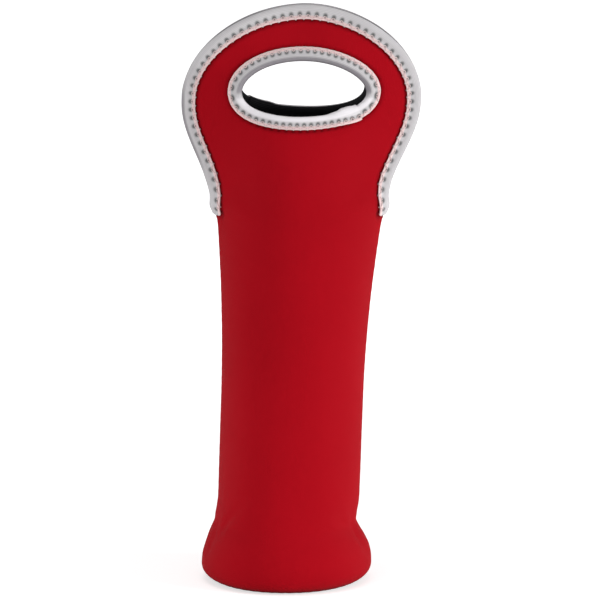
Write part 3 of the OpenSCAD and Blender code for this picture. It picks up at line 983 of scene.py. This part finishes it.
class Finish:
    """The nodes of a new material, or of a new world where kind says so."""
    def __init__(self, name, kind="materials"):
        self.owner = getattr(bpy.data, kind).new(name)
        self.owner.use_nodes = True
        self.tree = self.owner.node_tree
        self.tree.nodes.clear()

    def node(self, kind, settings=None, inputs=None, output=0):
        made = self.tree.nodes.new(kind)
        for name, value in (settings or {}).items():
            setattr(made, name, value)
        for name, value in (inputs or {}).items():
            if isinstance(value, Wire):
                self.tree.links.new(value.socket, made.inputs[name])
            else:
                made.inputs[name].default_value = value
        return Wire(self, made.outputs[output] if len(made.outputs) else None)

    def place(self, scale=1.0):
        """Where a point lies on the piece, in metres times scale."""
        at = self.node("ShaderNodeTexCoord", output="Object")
        return self.node("ShaderNodeVectorMath", {"operation": "SCALE"}, {0: at, "Scale": scale})

    def parts(self, vector):
        split = self.node("ShaderNodeSeparateXYZ", inputs={0: vector}).socket.node
        return [Wire(self, split.outputs[k]) for k in range(3)]

    def uv(self, name):
        return self.parts(self.node("ShaderNodeUVMap", {"uv_map": name}))

    def kept(self, name):
        return self.parts(self.node("ShaderNodeAttribute", {"attribute_name": name}, output="Vector"))

    def noise(self, size, detail=3.0, rough=0.5):
        """Cloudy values round 0.5, with spots of about that size in metres."""
        return self.node("ShaderNodeTexNoise", None, {
            "Vector": self.place(1 / size), "Scale": 1.0, "Detail": detail, "Roughness": rough})

    def wave(self, value):
        """0 to 1 and back, once for each whole step of value."""
        return (value * math.tau).sum("COSINE") * 0.5 + 0.5

    def ramp(self, value, low, high):
        """0 below low, 1 above high, and smooth between."""
        return self.node("ShaderNodeMapRange", {"interpolation_type": "SMOOTHSTEP"},
                         {"Value": value, "From Min": low, "From Max": high})

    def blend(self, share, a, b):
        """Colour a where share is 0 and colour b where it is 1."""
        return self.node("ShaderNodeMix", {"data_type": "RGBA"}, {0: share, 6: a, 7: b}, output=2)

    def finish(self, color, rough, height, relief, gloss, nap=0.0):
        """The whole finish: relief is how deep the height goes, in metres."""
        bump = self.node("ShaderNodeBump", None, {"Height": height, "Distance": relief, "Strength": 1.0})
        shader = self.node("ShaderNodeBsdfPrincipled", None, {
            "Base Color": color, "Roughness": rough, "Normal": bump, "Specular IOR Level": gloss,
            "Sheen Weight": nap, "Sheen Roughness": 0.4})
        self.node("ShaderNodeOutputMaterial", None, {"Surface": shader})
        return self.owner


def shade(r, g, b):
    """A colour written as it shows on a screen, 0 to 255, as the shader's own numbers."""
    linear = [((c / 255 + 0.055) / 1.055) ** 2.4 if c > 10 else c / 255 / 12.92 for c in (r, g, b)]
    return (*linear, 1.0)


# %% [markdown]
# Red jersey. The outer face is a fine stockinette knit, stretched over foam: rows of small V
# stitches, with a faint nap. The V comes from two waves in the panel's own flat map, so it runs
# round the bag with the cloth. Each needle has pulled a small dimple into the jersey beside the tape,
# where painted shade draws a dark dot at each needle hole and a dark line along the tape's edge.
# Painted shade also darkens the jersey towards the seams, most of all along the foot's lower edge.


# %% Jersey
def knit(f, wale=0.9 * mm, course=0.65 * mm):
    """Stockinette: columns of V stitches, as a height from 0 to 1."""
    x, y, _ = f.uv("flat_cut")
    side = (x / wale).sum("PINGPONG", 0.5) * 2
    stitch = f.wave(y / course + side * 0.75)
    groove = f.ramp(side, 0.02, 0.35) * (1 - f.ramp(side, 0.82, 1.0) * 0.7)
    return stitch * 0.55 * groove + groove * 0.45


def needle_dots(f, name, pitch, away, size):
    """1 at each needle hole of a stitch line, fading out over size."""
    count, gap, _ = f.kept(name)
    x, y = (count + away[1]).sum("PINGPONG", 0.5) * (pitch / size), (gap - away[0]) / size
    return f.ramp((x * x + y * y) ** 0.5, 1.0, 0.25)


f = Finish("red_jersey")
pattern, cloud, grain = knit(f), f.noise(55 * mm, 2.0), f.noise(1.1 * mm, 2.0, 0.6)
color = f.blend(f.ramp(cloud, 0.3, 0.7), shade(162, 7, 21), shade(168, 8, 23))
color = f.blend(pattern * 0.3 + grain * 0.2, color, shade(178, 9, 27))
color = f.blend((1 - pattern) * 0.3, color, shade(130, 4, 14))
# Painted shade: the jersey is darkened towards the seams and most along the foot's lower edge, in a line
# beside each tape, and in a dot at each needle hole.
painted_shade = f.ramp(f.kept("flat_cut")[2], 11 * mm, 2.5 * mm) * 0.75
for name, pitch in (("edge_stitch", edge_pitch), ("hole_stitch", hole_pitch)):
    _, gap, in_reach = f.kept(name)
    painted_shade = painted_shade + f.ramp(gap, 3.6 * mm, 0.2 * mm) * in_reach * 0.5
    painted_shade = painted_shade + needle_dots(f, name, pitch, (stitch_bite, 0.5), 1.5 * mm) * 0.3
color = f.blend(f.ramp(painted_shade, 0, 1), color, shade(88, 2, 8))
red = f.finish(color, 0.92 - pattern * 0.06, pattern * 0.8 + grain * 0.5, 0.12 * mm, 0.04, nap=0.05)

f = Finish("black_jersey")
pattern, grain = knit(f), f.noise(1.3 * mm, 2.0, 0.6)
color = f.blend(pattern * 0.6 + grain * 0.3, shade(14, 14, 16), shade(40, 40, 44))
black = f.finish(color, 0.9 - pattern * 0.1, pattern + grain * 0.4, 0.12 * mm, 0.15)

f = Finish("foam")
cells = f.node("ShaderNodeTexVoronoi", None, {"Vector": f.place(1 / (0.5 * mm)), "Scale": 1.0})
color = f.blend(f.ramp(cells, 0.1, 0.7), shade(22, 22, 24), shade(48, 48, 51))
core = f.finish(color, 0.95, cells, 0.1 * mm, 0.2)
print("finishes:", red.name, black.name, core.name)

# %% [markdown]
# Grey tape. A knitted binding has fine ribs along its length, each a chain of small stitches, and a
# dot of painted shade at each needle hole. It is paler at its edge, where the pale zigzag crosses
# it. Round its fold it is darker with painted shade, deepest round the upper half of a hole and on a
# flap's left flank, and the fold round the lower half of a hole has a painted highlight. The half
# that is folded inwards is black, like the lining: in the picture the back flap shows no grey round
# the inside of its hole.


# %% Tape, thread and overlock
def binding(name, pitch, dot):
    f = Finish(name)
    u, c, _ = f.uv("tape")
    ribs = f.wave(c / (0.85 * mm))
    chain = f.wave(u / (0.7 * mm) + ribs * 0.5)
    grain, cloud = f.noise(0.8 * mm, 2.0, 0.6), f.noise(22 * mm, 2.0)
    grey = f.blend(f.ramp(cloud, 0.3, 0.7), shade(206, 203, 205), shade(216, 213, 215))
    # Painted shade and highlight on the tape: the fold is darker all round, darker still where the kept
    # third number is above 0, and has a painted highlight where it is below 0; each needle hole gets a dot
    # of painted shade.
    _, from_lip, fold_shade = f.kept("stitch")
    fold_shade_share, fold_highlight_share = f.ramp(fold_shade, 0, 1), f.ramp(fold_shade, 0, -1)
    for share, tone in (
            ((1 - ribs) * 0.3 + (1 - chain) * 0.2, shade(158, 156, 159)),
            (f.ramp(c, -2.4 * mm, 0.2 * mm) * 0.35, shade(146, 141, 147)),
            (f.ramp(c, -4.4 * mm, -2.9 * mm) * fold_shade_share * 0.68, shade(112, 106, 113)),
            (f.ramp(c, -5.9 * mm, -4.1 * mm) * fold_highlight_share * 0.85, shade(246, 242, 246)),
            (f.ramp(from_lip, 2.5 * mm, 1.4 * mm) * 0.95, shade(240, 211, 210)),
            (needle_dots(f, "stitch", pitch, (stitch_w, 0.0), dot) * 0.88, shade(84, 87, 86))):
        grey = f.blend(share, grey, tone)
    lining = f.blend(ribs * 0.6 + grain * 0.3, shade(20, 20, 22), shade(52, 52, 56))
    color = f.blend(f.ramp(c, 0.7 * mm, 1.3 * mm), grey, lining)
    return f.finish(color, 0.85, ribs * 0.6 + chain * 0.4 + grain * 0.3, 0.16 * mm, 0.15)


def twisted(name, low, high):
    """Sewing thread: a slanted band of light and dark for its twist."""
    f = Finish(name)
    x, y, z = f.parts(f.place(1 / (0.45 * mm)))
    twist = f.wave(x + y + z)
    return f.finish(f.blend(twist * 0.7, low, high), 0.6, twist, 0.06 * mm, 0.3)


tape_finishes = {"edge": binding("edge_tape", edge_pitch, 2.2 * mm),
                 "hole": binding("hole_tape", hole_pitch, 1.9 * mm)}
pale_thread = twisted("pale_thread", shade(210, 188, 187), shade(236, 213, 212))
black_thread = twisted("black_thread", shade(22, 22, 24), shade(50, 50, 54))

f = Finish("overlocked_edge")
grain = f.noise(0.7 * mm, 3.0, 0.6)
color = f.blend(f.ramp(grain, 0.3, 0.7), shade(18, 18, 20), shade(42, 42, 46))
overlock_finish = f.finish(color, 0.85, grain, 0.15 * mm, 0.2)
print("finishes:", [made.name for made in (*tape_finishes.values(), pale_thread, black_thread)])

# %% [markdown]
# Neoprene is foam with a jersey glued to each side: red outside, black inside, and dark foam shows
# at a cut. So each face of a cloth piece gets its finish from the way it looks.


# %% Dress the pieces
def dress(obj, *materials):
    for made in materials:
        obj.data.materials.append(made)


def sort_cloth(obj, outward):
    """Gives each face of a cloth piece its finish, from the outward direction there."""
    lean_out = (read(obj.data.polygons, "normal", 3) * outward).sum(1)
    index = np.where(lean_out > 0.5, 0, np.where(lean_out < -0.5, 1, 2)).astype(np.int32)
    dress(obj, red, black, core)
    obj.data.polygons.foreach_set("material_index", index)
    print(obj.name, "faces red, black, foam:", np.bincount(index))


for way, obj in panels.items():
    s, v, _ = noted(obj, "flat_cut")[corners_of(obj)].T
    first = read(obj.data.polygons, "loop_start", kind=np.int32)
    outward = unit(np.add.reduceat(look_up(facing_table, s, v), first, axis=0))
    sort_cloth(obj, outward * (1, way, 1))
sort_cloth(disc, np.tile([0, 0, -1], (len(disc.data.polygons), 1)))
for name, obj in tapes.items():
    dress(obj, tape_finishes["hole" if "hole" in name else "edge"])
for name, obj in threads.items():
    dress(obj, black_thread if "bobbin" in name else pale_thread)
for obj in ridges.values():
    dress(obj, overlock_finish)

# %% [markdown]
# The foot and the inner seams ride on the bag. Each piece that runs on into a flap has its place
# baked into its points, and the imported nodes that the new pieces stand for are hidden.

# Each piece that runs on into a flap, with its slot and the imported nodes that it replaces
stands_for = {
    "neoprene": ("red_neoprene", "panel", "fold", "handle"),
    "edge_binding": ("binding_tape", "edge_tape", "tape_tails"),
    "hole_binding": ("binding_tape", "hole_tape"),
    "edge_thread": ("thread", "edge_stitches", "tail_stitches"),
    "hole_thread": ("thread", "hole_stitches"),
    "edge_bobbin_thread": ("inside_seam",),
    "hole_bobbin_thread": ("inside_seam",),
}
for side in sides.values():
    for part, (slot, *nodes) in stands_for.items():
        obj = bpy.data.objects[f"{side}_{part}"]
        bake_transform(obj)
        if nodes:
            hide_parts(*[f"{side}_{node}" for node in nodes])
for obj, node, slot in ((disc, "base_panel", "red_neoprene"),
                        (ridges["foot_overlock"], "base_seam", "inside_seam"),
                        (ridges["left_overlock"], "left_side_seam", "inside_seam"),
                        (ridges["right_overlock"], "right_side_seam", "inside_seam")):
    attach(obj, "bag_body")
    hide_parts(node)

# %% [markdown]
# The flat sizes of the panel and the tapes come from the cut itself.

cut_w, cut_l = 2 * girth_half(v_lines).max(), v_top
for way, side in sides.items():
    for part in lines:
        flat = tape_flats[f"front_{part}_binding"]
print("panel cut, mm:", round(cut_w / mm), "by", round(cut_l / mm))
for name, (width, length) in tape_flats.items():
    print(name, "cut, mm:", round(width / mm, 1), "by", round(length / mm))

# %% [markdown]
# A plain studio: a white table, soft light all round, a large lamp from the right, a softer one from
# the left and a weak one from above. The table glows a little under the bag, which makes its foot
# the brightest part, as in the picture. Away from the shadow it shows white to the camera alone, so
# that it throws no more light on the bag.

# %% Floor and light
bpy.ops.mesh.primitive_circle_add(vertices=96, radius=14, fill_type="NGON", location=(0, 0, -0.05 * mm))
floor = fresh("floor")
f = Finish("floor")
seen, glossy, through = [f.node("ShaderNodeLightPath", output=f"Is {kind} Ray")
                         for kind in ("Camera", "Glossy", "Transmission")]
seen = seen.sum("MAXIMUM", glossy).sum("MAXIMUM", through)
x, y, _ = f.parts(f.place())
reach = (x * x + y * y) ** 0.5
far = f.ramp(reach, 0.15, 1.2)
glow = f.ramp(reach, 0.5, 0.12) * f.ramp(reach, 0.06, 0.1) * 0.62
strength = glow + seen * (far * 0.33 + 0.62 - glow)
paper = f.node("ShaderNodeBsdfDiffuse", None, {"Color": (0.82, 0.82, 0.82, 1)})
lift = f.node("ShaderNodeEmission", None, {"Color": (1, 1, 1, 1), "Strength": strength})
both = f.node("ShaderNodeAddShader", None, {0: paper, 1: lift})
f.node("ShaderNodeOutputMaterial", None, {"Surface": both})
dress(floor, f.owner)

sky = Finish("studio", "worlds")
soft_light, white = [sky.node("ShaderNodeBackground", None, {"Color": (1, 1, 1, 1), "Strength": power})
                     for power in (0.3, 1.0)]
seen = sky.node("ShaderNodeLightPath", output="Is Camera Ray")
shown = sky.node("ShaderNodeMixShader", None, {0: seen, 1: soft_light, 2: white})
sky.node("ShaderNodeOutputWorld", None, {"Surface": shown})
bpy.context.scene.world = sky.owner

for name, at, size, power in (("key", (2.9, -1.1, 0.6), 1.4, 85),
                              ("fill", (-2.8, -1.7, 0.3), 1.8, 64),
                              ("top", (-0.2, -0.5, 3.0), 1.6, 14)):
    bpy.ops.object.light_add(type="AREA", location=at, rotation=facing(at, (0, 0, 180 * mm)))
    lamp = fresh(name).data
    lamp.shape, lamp.size, lamp.energy = "DISK", size, power
bpy.context.scene.view_settings.view_transform = "Standard"
